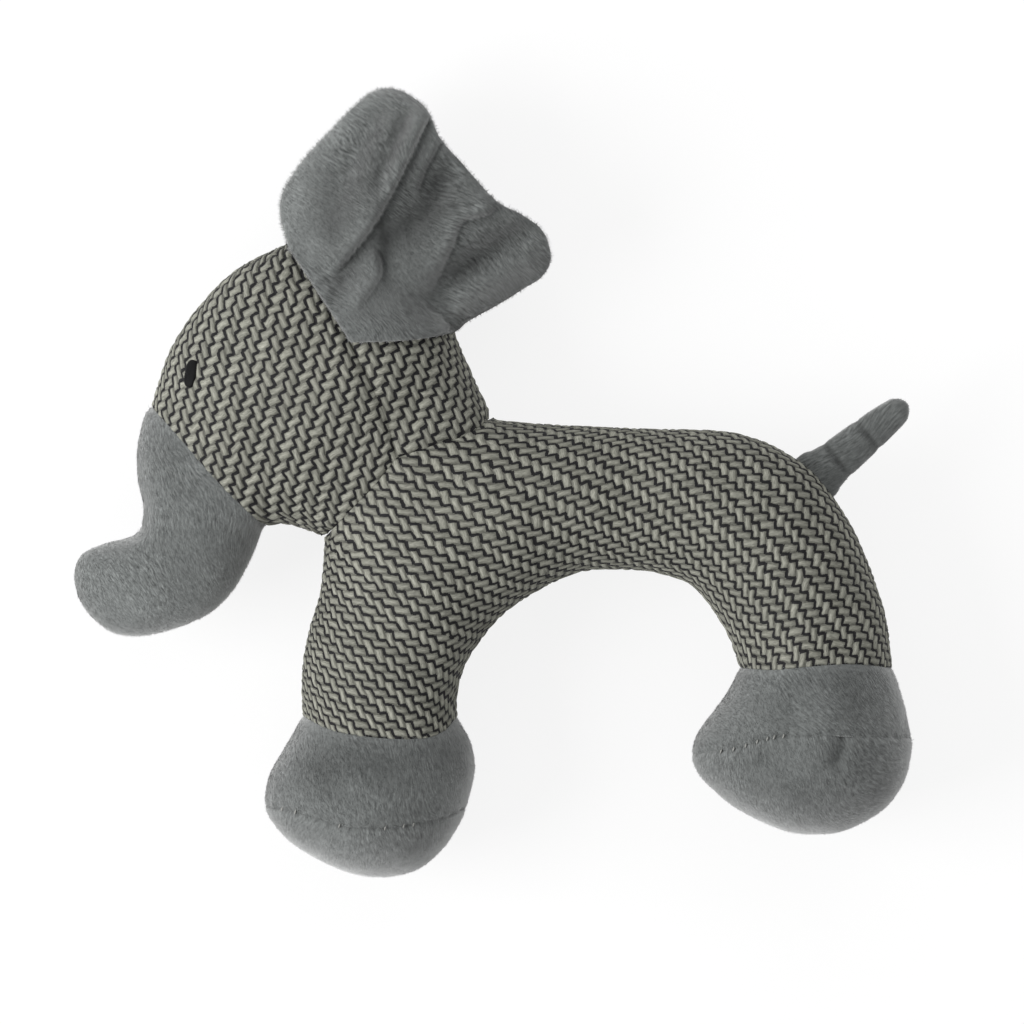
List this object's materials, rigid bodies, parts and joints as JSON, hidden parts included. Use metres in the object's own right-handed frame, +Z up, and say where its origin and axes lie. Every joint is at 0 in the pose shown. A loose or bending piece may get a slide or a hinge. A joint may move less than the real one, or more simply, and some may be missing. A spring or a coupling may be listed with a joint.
{
  "type": "squeaky dog toy",
  "caption": "Stuffed elephant dog toy with woven head and body, plush trunk, ears, boots and tail, and a squeaker in its stuffing; ears and tail flop, the squeaker presses in.",
  "frame": {"origin": "on the floor under the middle of the toy's bounding box, with the toy lying on its far side", "axes": "+X from the trunk to the rump, +Y from the boots to the ears, +Z up from the far side to the near side"},
  "size_m": [0.2787, 0.2629, 0.0715],
  "materials": {
    "woven": "coarse two-tone twill",
    "plush": "short pile plush",
    "stuffing": "polyester fibre fill",
    "thread": "satin stitch embroidery",
    "bulb": "blow-moulded soft polyethylene",
    "reed": "moulded plug and cut reed"
  },
  "bodies": {
    "body": {"head_front_near": "woven", "head_front_far": "woven", "head_back_near": "woven", "head_back_far": "woven", "body_near": "woven", "body_far": "woven", "trunk_near": "plush", "trunk_far": "plush", "front_boot_near": "plush", "front_boot_far": "plush", "front_boot_sole": "plush", "rear_boot_near": "plush", "rear_boot_far": "plush", "rear_boot_sole": "plush", "head_fill": "stuffing", "trunk_fill": "stuffing", "body_fill_near": "stuffing", "body_fill_far": "stuffing", "front_boot_fill": "stuffing", "rear_boot_fill": "stuffing", "eye_near": "thread", "eye_far": "thread", "squeaker_base": "bulb", "squeaker_pleats": "bulb", "reed_plug": "reed"},
    "near_ear": {"ear_outer_near": "plush", "ear_inner_near": "plush"},
    "far_ear": {"ear_outer_far": "plush", "ear_inner_far": "plush"},
    "tail": {"tail": "plush"},
    "squeaker_crown": {"squeaker_crown": "bulb"},
    "reed": {"reed": "reed"}
  },
  "joints": [
    {"name": "near_ear_flop", "type": "hinge", "parent": "body", "child": "near_ear", "pos_m": [-0.06123, 0.06886, 0.06373], "axis": [0.5574, -0.808, 0.1912], "range_deg": [0, 140], "stiffness_Nm_per_rad": 0.003},
    {"name": "far_ear_flop", "type": "hinge", "parent": "body", "child": "far_ear", "pos_m": [-0.06123, 0.06886, 0.00727], "axis": [-0.5574, 0.808, 0.1912], "range_deg": [0, 140], "stiffness_Nm_per_rad": 0.003},
    {"name": "tail_flop", "type": "hinge", "parent": "body", "child": "tail", "pos_m": [0.11101, 0.0053, 0.0355], "axis": [-0.6691, 0.7431, 0], "range_deg": [-70, 70], "stiffness_Nm_per_rad": 0.006},
    {"name": "squeaker_press", "type": "slide", "parent": "body", "child": "squeaker_crown", "axis": [0, 0, -1], "range_m": [0, 0.009], "stiffness_N_per_m": 500, "deforming": ["squeaker_pleats"]},
    {"name": "reed_flex", "type": "hinge", "parent": "body", "child": "reed", "pos_m": [-0.013, -0.0146, 0.0182], "axis": [-1, 0, 0], "range_deg": [0, 7], "stiffness_Nm_per_rad": 0.0002}
  ]
}
